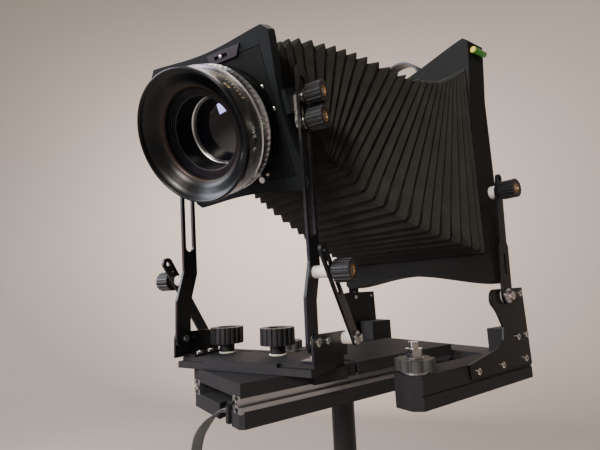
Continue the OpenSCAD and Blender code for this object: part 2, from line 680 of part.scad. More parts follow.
module rear_uprights() color(black) bed() both() plate_yz(bar_x, bar_t) difference() {
    union() {
        bar2d([hinge_y, hinge_z], [hinge_y + 3, hinge_z + 56], 20);
        bar2d([hinge_y + 3, hinge_z + 50], [tilt_y, tilt_z], 14);
        bar2d([tilt_y, tilt_z], [tilt_y + 4, tilt_z + 17], 11);
    }
    translate([hinge_y, hinge_z]) circle(r = 3 + run);
    translate([tilt_y, tilt_z]) circle(r = stud_r + run);
    translate([tilt_y + 4, tilt_z + 17]) circle(r = 2.6);
    bar2d([hinge_y + 1.5, hinge_z + 26], [hinge_y + 2.5, hinge_z + 48], 3);
}

module rear_spacers() color(white) bed() both() {
    across(rear_side(tilt_z - 8) + gap, tilt_y, tilt_z)
        ring(8, stud_r + run, bar_x - rear_side(tilt_z - 8) - gap);
    across(plate_x + bracket_t, hinge_y, hinge_z) ring(9, 3 + run, bar_x - plate_x - bracket_t);
    translate([arm_x + arm_w / 2, disc_y, arm_h]) ring(12, 5 + run, 3);
}

module rear_knob() color(plastic) across(bar_x + bar_t + gap, tilt_y, tilt_z)
    small_knob(bar_x + bar_t + gap - rear_side(tilt_z) + 12);

module rear_frame() color(plastic) bed() difference() {
    translate([0, rear_y + rear_t, rear_z + rear_h / 2]) rotate([90, 0, 0]) linear_extrude(rear_t)
        polygon(waisted(rear_half_w, rear_h / 2, rear_waist, 14));
    translate([-bellows_rear[0] + 6, rear_y - 1, rear_z + rear_h / 2 - bellows_rear[1] + 6])
        cube([2 * bellows_rear[0] - 12, rear_t + 2, 2 * bellows_rear[1] - 12]);
    both() across(rear_side(tilt_z) - 14, tilt_y, tilt_z) cylinder(r = stud_r + run, h = 20);
}

module level_vial() color([0.35, 0.75, 0.25]) bed()
    translate([rear_half_w + 4.2, rear_y + 3, rear_z + rear_h - 20]) rotate([-90, 0, 0]) {
        cylinder(r = 4, h = 27);
        translate([-4.2, -3, 2]) cube([4.2, 6, 23]);
    }

function rear_top(x) = rear_z + rear_h - 14 * waist(x / (rear_half_w - 6));
handle_r = 50;

module top_strap() color(plastic) bed() {
    y = rear_y + 8;
    difference() {
        translate([0, y + 19, rear_top(handle_r) - 14]) rotate([90, 0, 0]) ring(handle_r, handle_r - 3, 19);
        translate([-70, y - 1, rear_top(handle_r) - 80]) cube([140, 21, 80]);
    }
}

module glass_back() color(plastic) bed() difference() {
    translate([-118, rear_y + rear_t, rear_z + 16]) cube([236, 14, rear_h - 32]);
    translate([-96, rear_y + rear_t - 1, rear_z + 40]) cube([192, 16, rear_h - 80]);
    translate([-104, rear_y + rear_t + 5, rear_z + 32]) cube([208, 4, rear_h - 64]);
}

module ground_glass() color([0.8, 0.85, 0.85]) bed()
    translate([-104, rear_y + rear_t + 5, rear_z + 32]) cube([208, 4, rear_h - 64]);

// ---------- drawing ----------

leg(0);  // leg_1
leg(1);  // leg_2
leg(2);  // leg_3
tripod_crown();
pan_collar();
collar_knob();
column();
strap_clips();
carry_strap();
bed_plate();
rails();
rear_deck();
front_carriage();
front_base();
front_brackets();
front_screws();
base_knob(1);  // base_knob_1
base_knob(2);  // base_knob_2
base_washers();
front_uprights();
strut_spacers();
front() strut();  // strut_right
front() mirror([1, 0, 0]) strut();  // strut_left
front() strut_knob();  // strut_knob_right
front() mirror([1, 0, 0]) strut_knob();  // strut_knob_left
frame_carriers();
front() carrier_knob(0);  // tilt_knob_right
front() mirror([1, 0, 0]) carrier_knob(0);  // tilt_knob_left
front() carrier_knob(1);  // rise_knob_right
front() mirror([1, 0, 0]) carrier_knob(1);  // rise_knob_left
front_frame();
lens_board();
board_latch();
lens_barrel();
front_glass();
shutter();
aperture_ring();
cocking_lever();
rear_cell();
bellows(1);  // bellows_1
bellows(2);  // bellows_2
bellows(3);  // bellows_3
bellows(4);  // bellows_4
bellows(5);  // bellows_5
bellows(6);  // bellows_6
bellows(7);  // bellows_7
rear_base();
bed() clamp_disc();  // clamp_disc_right
bed() mirror([1, 0, 0]) clamp_disc();  // clamp_disc_left
rear_screws();
rear_brackets();
rear_uprights();
rear_spacers();
bed() rear_knob();  // rear_knob_right
bed() mirror([1, 0, 0]) rear_knob();  // rear_knob_left
rear_frame();
level_vial();
top_strap();
glass_back();
ground_glass();
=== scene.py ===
import json, math, random
import bpy
from mathutils import Matrix, Vector


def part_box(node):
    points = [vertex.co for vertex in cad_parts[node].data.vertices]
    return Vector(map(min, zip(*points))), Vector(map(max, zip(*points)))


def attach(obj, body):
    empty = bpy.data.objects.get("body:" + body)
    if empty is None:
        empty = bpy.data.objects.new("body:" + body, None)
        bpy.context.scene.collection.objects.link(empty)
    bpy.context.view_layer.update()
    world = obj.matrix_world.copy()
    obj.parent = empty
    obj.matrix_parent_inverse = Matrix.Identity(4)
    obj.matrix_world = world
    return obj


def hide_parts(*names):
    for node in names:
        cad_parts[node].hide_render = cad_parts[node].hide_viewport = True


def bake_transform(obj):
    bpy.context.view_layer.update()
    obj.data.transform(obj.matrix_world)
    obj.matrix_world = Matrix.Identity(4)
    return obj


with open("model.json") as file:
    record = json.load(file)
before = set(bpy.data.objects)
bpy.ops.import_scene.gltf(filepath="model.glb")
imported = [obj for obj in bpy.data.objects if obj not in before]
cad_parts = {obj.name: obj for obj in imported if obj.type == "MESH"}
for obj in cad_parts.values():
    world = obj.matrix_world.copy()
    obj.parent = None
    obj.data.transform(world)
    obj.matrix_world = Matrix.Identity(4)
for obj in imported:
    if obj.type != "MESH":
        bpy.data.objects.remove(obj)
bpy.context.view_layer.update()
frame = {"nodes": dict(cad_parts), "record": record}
home = {node: body for body, held in frame["record"]["behaviour"]["bodies"].items() for node in held}
random.seed(7)

# ---------------------------------------------------------------- viewpoint
# The eye is close to the camera's right front corner, level with the bed's lens standard,
# and looks slightly up at the lens through a wide-angle lens.
eye = bpy.data.cameras.new("eye")
eye.lens, eye.sensor_width, eye.clip_start = 24.6, 36, 0.02
viewpoint = bpy.data.objects.new("viewpoint", eye)
axes = Matrix(((0.5717, 0.8193, -0.0441), (0.1485, -0.0505, 0.9876), (0.8069, -0.5712, -0.1505)))
viewpoint.matrix_world = Matrix.Translation((0.3948, -0.3297, 1.020)) @ axes.transposed().to_4x4()
bpy.context.scene.collection.objects.link(viewpoint)
bpy.context.scene.camera = viewpoint

# ---------------------------------------------------------------- carrying strap
# A flat band of woven polyester, 11 mm wide, clipped to the bed's front beam and to the column.
# It hangs in one loop, and its edges are woven in a darker yarn than the middle.
MM = 0.001
BED = Matrix.Translation((0, -0.161, 0.9))
STRAP_W, STRAP_T = 11.0, 2.4
STRAP_ROUTE = ((31, 3, 11), (24, 3.01, 11), (17, -1, 9), (10, -7.5, 3), (1, -10, -5), (-8, -10, -12),
    (-18, -9, -20), (-28, -7, -30), (-37, -5, -41), (-45, -3, -55), (-51, 1, -72), (-55, 8, -91),
    (-56, 18, -111), (-54, 31, -130), (-50, 46, -146), (-44, 63, -158), (-37, 81, -164),
    (-29, 99, -163), (-21, 116, -154), (-13, 130, -140), (-6, 138, -127), (-2, 141.5, -117),
    (-1, 142, -110), (-1, 142.01, -102))


def curve_through(stops, steps):
    """Points of one smooth line through the stops, with this many between each two."""
    line = []
    for i in range(len(stops) - 1):
        a, b, c, d = (stops[max(0, min(len(stops) - 1, i + k))] for k in (-1, 0, 1, 2))
        for s in range(steps):
            t = s / steps
            line.append(0.5 * ((2 * b) + (c - a) * t + (2 * a - 5 * b + 4 * c - d) * t * t
                               + (3 * b - a - 3 * c + d) * t ** 3))
    return line + [stops[-1]]


def tone(code):
    """The linear colour of an sRGB hex value."""
    parts = [int(code[i:i + 2], 16) / 255 for i in (1, 3, 5)]
    return [p / 12.92 if p <= 0.04045 else ((p + 0.055) / 1.055) ** 2.4 for p in parts] + [1]


def add_node(finish, kind, values=None, feeds=None, **settings):
    """Adds one node to a finish: its own settings, its sockets' values, and what feeds them."""
    node = finish.node_tree.nodes.new("ShaderNode" + kind)
    for key, value in settings.items():
        setattr(node, key, value)
    for key, value in (values or {}).items():
        node.inputs[key].default_value = value
    for key, source in (feeds or {}).items():
        finish.node_tree.links.new(source, node.inputs[key])
    return node


def new_finish(name, colour, roughness, metallic=0.0, **sockets):
    """A material with these values on the shader's own sockets; returns it and its shader."""
    finish = bpy.data.materials.new(name)
    finish.use_nodes = True
    shader = finish.node_tree.nodes["Principled BSDF"]
    shader.inputs["Base Color"].default_value = tone(colour)
    shader.inputs["Roughness"].default_value = roughness
    shader.inputs["Metallic"].default_value = metallic
    for key, value in sockets.items():
        shader.inputs[key.replace("_", " ")].default_value = value
    return finish, shader


def feed(finish, source, shader, socket):
    finish.node_tree.links.new(source, shader.inputs[socket])


route = [BED @ (p * MM) for p in curve_through([Vector(p) for p in STRAP_ROUTE], 5)]
verts, faces, across_uv = [], [], []
outline = [(1, .3), (.94, .85), (.8, 1), (0, 1.0), (-.8, 1), (-.94, .85), (-1, .3),
           (-1, -.3), (-.94, -.85), (-.8, -1), (0, -1.0), (.8, -1), (.94, -.85), (1, -.3)]
for i, p in enumerate(route):
    t = (route[min(i + 1, len(route) - 1)] - route[max(i - 1, 0)]).normalized()
    side = t.cross(Vector((0, 0, 1))).normalized()
    up = side.cross(t)
    for a, b in outline:
        verts.append(p + side * (a * STRAP_W / 2 * MM) + up * (b * STRAP_T / 2 * MM))
        across_uv.append((a * STRAP_W / 2, i))
n = len(outline)
for i in range(len(route) - 1):
    for k in range(n):
        a, b = n * i + k, n * i + (k + 1) % n
        faces.append((a, b, b + n, a + n))
faces += [tuple(range(n))[::-1], tuple(range(n * (len(route) - 1), n * len(route)))]
mesh = bpy.data.meshes.new("strap_band")
mesh.from_pydata(verts, [], faces)
run = [0.0]
for a, b in zip(route, route[1:]):
    run.append(run[-1] + (b - a).length)
uv = mesh.uv_layers.new(name="band")
for loop in mesh.loops:
    a, i = across_uv[loop.vertex_index]
    uv.data[loop.index].uv = (a * MM, run[i])
for face in mesh.polygons:
    face.use_smooth = True
strap = bpy.data.objects.new("strap_band", mesh)
bpy.context.scene.collection.objects.link(strap)

webbing, shader = new_finish("woven_polyester_webbing", "#3a423d", 0.72, Sheen_Weight=0.25,
                             Sheen_Roughness=0.5)
place = add_node(webbing, "UVMap", uv_map="band")
parts = add_node(webbing, "SeparateXYZ", feeds={"Vector": place.outputs["UV"]})
# The yarns are 0.6 mm apart, drawn as slanting ribs 1.6 mm apart so that they show.
ribs = add_node(webbing, "TexWave", {"Scale": 195.0, "Distortion": 0.6, "Detail": 1.0},
                {"Vector": place.outputs["UV"]}, bands_direction="DIAGONAL")
from_middle = add_node(webbing, "Math", feeds={0: parts.outputs["X"]}, operation="ABSOLUTE")
edge = add_node(webbing, "Math", {1: 4.0 * MM}, {0: from_middle.outputs[0]}, operation="GREATER_THAN")
shade = add_node(webbing, "Mix", {"A": tone("#3f4843"), "B": tone("#191d1f")}, {"Factor": edge.outputs[0]},
                 data_type="RGBA")
yarn = add_node(webbing, "Mix", {"Factor": 0.35}, {"A": shade.outputs["Result"], "B": ribs.outputs["Color"]},
                data_type="RGBA", blend_type="MULTIPLY")
feed(webbing, yarn.outputs["Result"], shader, "Base Color")
bump = add_node(webbing, "Bump", {"Strength": 0.6, "Distance": 0.0004}, {"Height": ribs.outputs["Fac"]})
feed(webbing, bump.outputs["Normal"], shader, "Normal")
strap.data.materials.append(webbing)
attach(strap, "bed")
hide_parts("carry_strap")

# ---------------------------------------------------------------- room and lights
# A round studio bowl of matt warm grey paint: a flat floor that curves up into a wall.
# A soft window lamp stands at the front left and a small key lamp at the front right, so that each
# pleat shades the next; the other lamps light the wall.


def alone(thing):
    """Only this object is selected and active."""
    bpy.ops.object.select_all(action="DESELECT")
    thing.select_set(True)
    bpy.context.view_layer.objects.active = thing


def turned(name, profile, place, steps=96):
    """A shape turned about its own z from (radius, height) points in mm, then put in its place."""
    r0, z0 = profile[0]
    bpy.ops.object.select_all(action="DESELECT")
    bpy.ops.mesh.primitive_circle_add(vertices=steps, radius=r0 * MM, location=(0, 0, z0 * MM))
    piece = bpy.context.object
    piece.name = name
    bpy.ops.object.transform_apply()
    bpy.ops.object.mode_set(mode="EDIT")
    bpy.ops.mesh.select_all(action="SELECT")
    for (ra, za), (rb, zb) in zip(profile, profile[1:]):
        bpy.ops.mesh.extrude_edges_move(TRANSFORM_OT_translate={"value": (0, 0, (zb - za) * MM)})
        grow = rb / ra
        bpy.ops.transform.resize(value=(grow, grow, 1), center_override=(0, 0, 0))
    bpy.ops.mesh.select_all(action="SELECT")
    bpy.ops.mesh.remove_doubles(threshold=6e-5)     # closes its poles and its seam
    bpy.ops.mesh.normals_make_consistent(inside=False)
    bpy.ops.object.mode_set(mode="OBJECT")
    piece.matrix_world = place @ piece.matrix_world
    bpy.ops.object.transform_apply()
    bpy.ops.object.shade_smooth_by_angle(angle=math.radians(35))
    return piece


bowl = turned("studio_bowl", [(0.02, 0), (3400, 0), (3760, 40), (4060, 160), (4280, 380), (4400, 700),
                              (4440, 1200), (4440, 5600)], Matrix.Translation((0, 0, 0)), steps=128)
alone(bowl)
bpy.ops.object.shade_smooth()
paint, shader = new_finish("matt_wall_paint", "#c9c2bc", 0.9)
stipple = add_node(paint, "TexNoise", {"Scale": 260.0, "Detail": 2.0},
                   {"Vector": add_node(paint, "TexCoord").outputs["Object"]})
bump = add_node(paint, "Bump", {"Strength": 0.15, "Distance": 0.002}, {"Height": stipple.outputs["Fac"]})
feed(paint, bump.outputs["Normal"], shader, "Normal")
bowl.data.materials.append(paint)

world = bpy.data.worlds.new("soft_daylight")
bpy.context.scene.world = world
world.use_nodes = True
world.node_tree.nodes["Background"].inputs["Color"].default_value = tone("#d9d6d4")
world.node_tree.nodes["Background"].inputs["Strength"].default_value = 0.25


def lamp(name, at, aim, size, power, colour):
    """A soft square lamp, aimed at a point."""
    bpy.ops.object.light_add(type="AREA", location=at)
    light = bpy.context.object
    light.name = name
    light.data.size, light.data.energy, light.data.color = size, power, tone(colour)[:3]
    light.rotation_mode = "QUATERNION"
    light.rotation_quaternion = (Vector(aim) - Vector(at)).to_track_quat("-Z", "Y")


lamp("window_lamp", (-0.75, -1.75, 2.05), (0, 0, 1.15), 1.1, 52, "#eef4ff")
lamp("key_lamp", (1.0, -1.65, 1.8), (0.1, 0, 1.2), 0.4, 34, "#fff4e8")
lamp("wall_lamp", (-1.9, 1.1, 1.7), (-3.2, 2.8, 2.7), 1.2, 120, "#fff0e4")
lamp("left_lamp", (-2.4, -0.6, 1.2), (-3.9, 0.6, 1.2), 1.0, 22, "#f4f4f6")
lamp("top_lamp", (-0.6, 0.6, 3.2), (0, 0, 1.1), 1.4, 35, "#fff8f2")
# Two small panes stand where the front glass reflects them.
lamp("rose_pane", (-0.60, -1.98, 1.06), (-0.04, -0.2, 1.2), 0.26, 4, "#ffb9b4")
lamp("lavender_pane", (-0.11, -2.13, 0.88), (-0.04, -0.2, 1.2), 0.26, 4, "#c9c4ff")

# ---------------------------------------------------------------- tripod legs and crown
# Three round aluminium tubes, coated satin black, hinge in a cast crown on steel bolts,
# and end in ribbed rubber feet.


def eased(name, finish, width=0.5, angle=32, segments=2):
    """A copy of a CAD node whose sharp edges are eased by this many mm; it stands for the node."""
    node = frame["nodes"][name]
    piece = bpy.data.objects.new(name + "_eased", node.data.copy())
    bpy.context.scene.collection.objects.link(piece)
    alone(piece)
    bpy.ops.mesh.customdata_custom_splitnormals_clear()
    bpy.ops.object.mode_set(mode="EDIT")
    bpy.ops.mesh.select_all(action="SELECT")
    bpy.ops.mesh.remove_doubles(threshold=2e-6)
    bpy.ops.mesh.dissolve_limited(angle_limit=math.radians(0.6))
    bpy.ops.object.mode_set(mode="OBJECT")
    ease = piece.modifiers.new("ease", "BEVEL")
    ease.width, ease.segments, ease.limit_method = width * MM, segments, "ANGLE"
    ease.angle_limit, ease.use_clamp_overlap = math.radians(angle), True
    bpy.ops.object.modifier_apply(modifier="ease")
    bpy.ops.object.shade_smooth_by_angle(angle=math.radians(30))
    piece.modifiers.new("flat_faces", "WEIGHTED_NORMAL").keep_sharp = True
    bpy.ops.object.modifier_apply(modifier="flat_faces")
    piece.data.materials.clear()
    piece.data.materials.append(finish)
    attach(piece, home[name])
    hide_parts(name)
    return piece


def coat(finish, *names):
    """Gives CAD nodes that keep their shape this finish."""
    for name in names:
        node = frame["nodes"][name]
        if not node.material_slots:
            node.data.materials.append(finish)
        for place in node.material_slots:
            place.material = finish


# Satin black powder coat: an even fine orange peel, 0.6 mm across, and slightly rubbed patches.
coated, shader = new_finish("satin_black_coating", "#0a0b0d", 0.36, IOR=1.5)
spot = add_node(coated, "TexCoord").outputs["Object"]
peel = add_node(coated, "TexNoise", {"Scale": 1500.0, "Detail": 2.0}, {"Vector": spot})
rub = add_node(coated, "TexNoise", {"Scale": 22.0, "Detail": 4.0, "Roughness": 0.6}, {"Vector": spot})
gloss = add_node(coated, "MapRange", {"To Min": 0.27, "To Max": 0.46}, {"Value": rub.outputs["Fac"]})
feed(coated, gloss.outputs["Result"], shader, "Roughness")
bump = add_node(coated, "Bump", {"Strength": 0.12, "Distance": 0.0002}, {"Height": peel.outputs["Fac"]})
feed(coated, bump.outputs["Normal"], shader, "Normal")
coat(coated, "leg_1", "leg_2", "leg_3", "column", "tripod_crown")

# Injection-moulded black nylon: a fine spark-eroded grain, 0.8 mm, that scatters the highlight.
moulded, shader = new_finish("moulded_black_nylon", "#1a1b1c", 0.42, IOR=1.5)
spot = add_node(moulded, "TexCoord").outputs["Object"]
grain = add_node(moulded, "TexNoise", {"Scale": 1250.0, "Detail": 3.0}, {"Vector": spot})
dust = add_node(moulded, "TexNoise", {"Scale": 60.0, "Detail": 5.0, "Roughness": 0.7}, {"Vector": spot})
shade = add_node(moulded, "Mix", {"A": tone("#0f1112"), "B": tone("#212324")},
                 {"Factor": dust.outputs["Fac"]}, data_type="RGBA")
feed(moulded, shade.outputs["Result"], shader, "Base Color")
bump = add_node(moulded, "Bump", {"Strength": 0.25, "Distance": 0.0002}, {"Height": grain.outputs["Fac"]})
feed(moulded, bump.outputs["Normal"], shader, "Normal")
coat(moulded, "pan_collar", "strap_clips")
eased("collar_knob", moulded, 0.5)

# ---------------------------------------------------------------- bed
# Two printed plates hold a pair of square slotted rails; the front carriage slides on the rails
# and the rear deck is fixed. The plates are printed flat, in level layers.


def layered(name, dark, light, turn=(0, 0, 0)):
    """Printed PETG. Its layers are 0.25 mm, drawn 1.1 mm apart so that they show; turn levels them."""
    finish, shader = new_finish(name, dark, 0.68, IOR=1.5, Specular_IOR_Level=0.22)
    spot = add_node(finish, "Mapping", {"Rotation": turn},
                    {"Vector": add_node(finish, "TexCoord").outputs["Object"]}).outputs["Vector"]
    layer = add_node(finish, "TexWave",
                     {"Scale": 286.0, "Distortion": 0.25, "Detail": 1.0, "Detail Scale": 0.4},
                     {"Vector": spot}, bands_direction="Z")
    batch = add_node(finish, "TexNoise", {"Scale": 1.0, "Detail": 3.0}, {"Vector": add_node(
        finish, "Mapping", {"Scale": (12.0, 12.0, 900.0)}, {"Vector": spot}).outputs["Vector"]})
    shade = add_node(finish, "Mix", {"A": tone(dark), "B": tone(light)},
                     {"Factor": batch.outputs["Fac"]}, data_type="RGBA")
    lined = add_node(finish, "Mix", {"Factor": 0.3},
                     {"A": shade.outputs["Result"], "B": layer.outputs["Color"]},
                     data_type="RGBA", blend_type="MULTIPLY")
    feed(finish, lined.outputs["Result"], shader, "Base Color")
    bump = add_node(finish, "Bump", {"Strength": 0.5, "Distance": 0.0003}, {"Height": layer.outputs["Fac"]})
    feed(finish, bump.outputs["Normal"], shader, "Normal")
    return finish


printed = layered("printed_grey_petg", "#1e1e21", "#38373a")
for name in ("bed_plate", "rear_deck", "front_carriage", "front_base", "rear_base"):
    eased(name, printed, 0.7)

# Extruded aluminium, bare: drawn lines run along the rail, so its highlight is streaked.
extruded, shader = new_finish("extruded_aluminium", "#c3c4c6", 0.3, 1.0)
spot = add_node(extruded, "TexCoord").outputs["Object"]
drawn = add_node(extruded, "TexNoise", {"Scale": 1.0, "Detail": 4.0}, {"Vector": add_node(
    extruded, "Mapping", {"Scale": (1400.0, 9.0, 1400.0)}, {"Vector": spot}).outputs["Vector"]})
gloss = add_node(extruded, "MapRange", {"To Min": 0.22, "To Max": 0.42}, {"Value": drawn.outputs["Fac"]})
feed(extruded, gloss.outputs["Result"], shader, "Roughness")
bump = add_node(extruded, "Bump", {"Strength": 0.2, "Distance": 0.0001}, {"Height": drawn.outputs["Fac"]})
feed(extruded, bump.outputs["Normal"], shader, "Normal")
eased("rails", extruded, 0.15, segments=1)

# ---------------------------------------------------------------- front standard
# Flat black aluminium bars stand on a printed base plate between folded brackets. Struts behind
# them are clamped by small fluted knobs on brass inserts, with white nylon spacers between.
SWING = math.radians(25)
FRONT = (BED @ Matrix.Translation((4.5 * MM, 71 * MM, 39 * MM)) @ Matrix.Rotation(SWING, 4, "Z")
         @ Matrix.Translation((-17 * MM, -47 * MM, 0)))

# Black anodised sheet: slightly metallic, with a fine brushed grain under the dye.
anodised, shader = new_finish("black_anodised_sheet", "#0d1012", 0.36, 0.3)
spot = add_node(anodised, "TexCoord").outputs["Object"]
brushed = add_node(anodised, "TexNoise", {"Scale": 1.0, "Detail": 3.0}, {"Vector": add_node(
    anodised, "Mapping", {"Scale": (900.0, 900.0, 25.0)}, {"Vector": spot}).outputs["Vector"]})
gloss = add_node(anodised, "MapRange", {"To Min": 0.26, "To Max": 0.44}, {"Value": brushed.outputs["Fac"]})
feed(anodised, gloss.outputs["Result"], shader, "Roughness")
for name in ("front_brackets", "front_uprights", "strut_right", "strut_left", "rear_brackets",
             "rear_uprights"):
    eased(name, anodised, 0.35)

# Stainless steel, turned and tumbled: bright, with faint stains.
stainless, shader = new_finish("stainless_steel", "#c9c8c4", 0.22, 1.0)
spot = add_node(stainless, "TexCoord").outputs["Object"]
stain = add_node(stainless, "TexNoise", {"Scale": 350.0, "Detail": 4.0}, {"Vector": spot})
gloss = add_node(stainless, "MapRange", {"To Min": 0.14, "To Max": 0.38}, {"Value": stain.outputs["Fac"]})
feed(stainless, gloss.outputs["Result"], shader, "Roughness")
for name in ("front_screws", "rear_screws", "frame_carriers", "cocking_lever"):
    eased(name, stainless, 0.2, segments=2)

# Natural nylon: milky white, light soaks in a little, with fine turning rings.
nylon, shader = new_finish("white_nylon", "#e9e7e0", 0.42, Subsurface_Weight=0.25, Subsurface_Scale=0.002)
cuts = add_node(nylon, "TexNoise", {"Scale": 700.0, "Detail": 2.0},
                {"Vector": add_node(nylon, "TexCoord").outputs["Object"]})
bump = add_node(nylon, "Bump", {"Strength": 0.15, "Distance": 0.0002}, {"Height": cuts.outputs["Fac"]})
feed(nylon, bump.outputs["Normal"], shader, "Normal")
for name in ("base_washers", "strut_spacers", "rear_spacers"):
    eased(name, nylon, 0.4)

# Turned brass inserts, dulled to copper brown where they were pressed in hot.
brass, shader = new_finish("turned_brass", "#b98f5c", 0.3, 1.0)
tarnish = add_node(brass, "TexNoise", {"Scale": 500.0, "Detail": 3.0},
                   {"Vector": add_node(brass, "TexCoord").outputs["Object"]})
shade = add_node(brass, "Mix", {"A": tone("#8a5f3c"), "B": tone("#cfa876")},
                 {"Factor": tarnish.outputs["Fac"]}, data_type="RGBA")
feed(brass, shade.outputs["Result"], shader, "Base Color")


def knob(name, place):
    """Eases a small fluted knob and adds its brass insert and stud; place is its foot, z outwards."""
    eased(name, moulded, 0.45)
    insert = turned(name + "_insert", [(6.0, 19.4), (6.0, 20.5), (5.5, 20.95), (4.3, 20.95), (3.9, 20.4),
                    (3.6, 17.0), (6.0, 17.0), (6.0, 19.4)], place, 32)
    insert.data.materials.append(brass)
    stud = turned(name + "_stud", [(0.02, 20.1), (2.9, 20.1), (3.4, 19.6), (3.4, 16.8), (0.02, 16.8)],
                  place, 24)
    stud.data.materials.append(stainless)
    for piece in (insert, stud):
        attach(piece, home[name])


# The bars stand BAR_X mm from the standard's middle and lean forward by LEAN above their knee.
LEAN, KNEE_Y, KNEE_Z = math.radians(2.4), 17, 104
BAR_X, BAR_T, SPACER_T, WASHER_T, GAP = 82, 3, 15.5, 1.6, 0.3
TILT_Z, RISE_Z = 272, 246
RIGHT, LEFT = (Matrix.Rotation(math.radians(a), 4, "Y") for a in (90, -90))


def outwards(base, side, x, y, z):
    """A place on one side, at these mm, whose z points away from the middle."""
    return base @ Matrix.Translation((side * x * MM, y * MM, z * MM)) @ (RIGHT if side > 0 else LEFT)


for side, hand in ((1, "right"), (-1, "left")):
    knob("strut_knob_" + hand,
         outwards(FRONT, side, BAR_X + BAR_T / 2 + SPACER_T + GAP + BAR_T + GAP, 14.5, 95))
    for kind, high in (("tilt", TILT_Z), ("rise", RISE_Z)):
        lean = KNEE_Y - (high - KNEE_Z) * math.tan(LEAN)
        knob(kind + "_knob_" + hand,
             outwards(FRONT, side, BAR_X + BAR_T / 2 + 2 * GAP + WASHER_T, lean, high))
    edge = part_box("rear_knob_right")[1].x / MM - 21
    knob("rear_knob_" + hand, outwards(BED, side, edge, 318, 226))

# Two large clamp knobs with deep flutes hold the base plate down on the carriage.
for name in ("base_knob_1", "base_knob_2"):
    eased(name, moulded, 0.6)

# ---------------------------------------------------------------- bellows
# Black coated cloth over card stiffeners, folded by hand into 28 square pleats. The cloth is
# packed tight behind the lens frame's lower right corner, where the frame leans towards the rear.
# Each row: pleat number, then the corner's place in mm from the floor under the column.
TIPS = {
    "top_right": ((-0.5, 72, -138, 1249), (2, 73, -115, 1271), (4, 75, -93, 1281), (6, 77, -60, 1285),
        (8, 81, -32, 1285), (10, 86, -4, 1281), (12, 91, 28, 1275), (14, 96, 50, 1269), (16, 101, 71, 1267),
        (18, 106, 88, 1267), (20, 110, 101, 1269), (22, 114, 111, 1274), (24, 117, 119, 1279),
        (26, 121, 126, 1284), (27.5, 124, 131, 1288)),
    "top_left": ((-0.5, -34, -189, 1249), (2, -46, -163, 1264), (5, -56, -140, 1273), (8, -66, -112, 1279),
        (11, -76, -82, 1281), (14, -86, -50, 1279), (17, -96, -14, 1275), (20, -106, 28, 1271),
        (23, -114, 75, 1273), (25, -118, 103, 1279), (27.5, -122, 131, 1288)),
    "bottom_left": ((-0.5, -56, -139, 1146), (2, -66, -118, 1158), (5, -76, -100, 1160), (8, -85, -84, 1157),
        (11, -92, -66, 1148), (13, -97, -48, 1138), (15, -104, -22, 1124), (17, -110, 11, 1107),
        (19, -114, 38, 1092), (23, -119, 84, 1070), (27.5, -122, 131, 1049)),
    "bottom_right": ((-0.5, 50, -88, 1145), (2, 44, -62, 1167), (5, 45, -50, 1170), (8, 45, -40, 1168),
        (10, 44, -33, 1163), (12, 45, -21, 1156), (14, 49, -3, 1141), (16, 56, 17, 1120), (18, 70, 37, 1103),
        (20, 86, 59, 1085), (22, 100, 77, 1073), (24, 114, 97, 1062), (26, 123, 120, 1054),
        (27.5, 125, 131, 1049))}
PLEATS, SIDE_STEPS = 28, 6


def tip(corner, p):
    """Where one corner of the bellows is at pleat p."""
    stops = TIPS[corner]
    i = max(k for k in range(len(stops) - 1) if stops[k][0] <= p + 1e-9)
    a, b, c, d = (stops[max(0, min(len(stops) - 1, i + k))] for k in (-1, 0, 1, 2))
    t = (p - b[0]) / (c[0] - b[0])
    span = c[0] - b[0]
    lead = [(c[k] - a[k]) / (c[0] - a[0]) * span if c[0] > a[0] else 0 for k in (1, 2, 3)]
    trail = [(d[k] - b[k]) / (d[0] - b[0]) * span if d[0] > b[0] else 0 for k in (1, 2, 3)]
    h = (2 * t ** 3 - 3 * t * t + 1, t ** 3 - 2 * t * t + t, 3 * t * t - 2 * t ** 3, t ** 3 - t * t)
    return Vector([(h[0] * b[k] + h[1] * lead[k - 1] + h[2] * c[k] + h[3] * trail[k - 1]) * MM
                   for k in (1, 2, 3)])


def fold(j, depth, corner_cut):
    """One closed fold line of the bellows: the outline at half pleat j, drawn in by depth mm."""
    corners = [tip(name, j / 2 - 0.5)
               for name in ("bottom_right", "top_right", "top_left", "bottom_left")]
    line = []
    for k in range(4):
        a, b = corners[k], corners[(k + 1) % 4]
        before, after = corners[k - 1], corners[(k + 2) % 4]
        long = (b - a).length / MM
        inward_a, inward_b = (before - a).normalized(), (after - b).normalized()
        for s in range(SIDE_STEPS + 1):
            t = (corner_cut + depth + (long - 2 * (corner_cut + depth)) * s / SIDE_STEPS) / long
            sag = 0.55 + 0.6 * math.sin(math.pi * s / SIDE_STEPS)
            line.append(a.lerp(b, t) + (inward_a.lerp(inward_b, t)) * (depth * sag * MM))
    return line


OUTER_DEPTH, OUTER_CUT, INNER_DEPTH, INNER_CUT = 0.4, 1.2, 7.2, 3.0
folds = []
for j in range(2 * PLEATS + 1):
    jitter = random.uniform(-0.7, 0.7)
    if j % 2:
        folds.append(fold(j, OUTER_DEPTH + jitter * 0.4, OUTER_CUT))
    else:
        folds.append(fold(j, INNER_DEPTH + jitter, INNER_CUT))

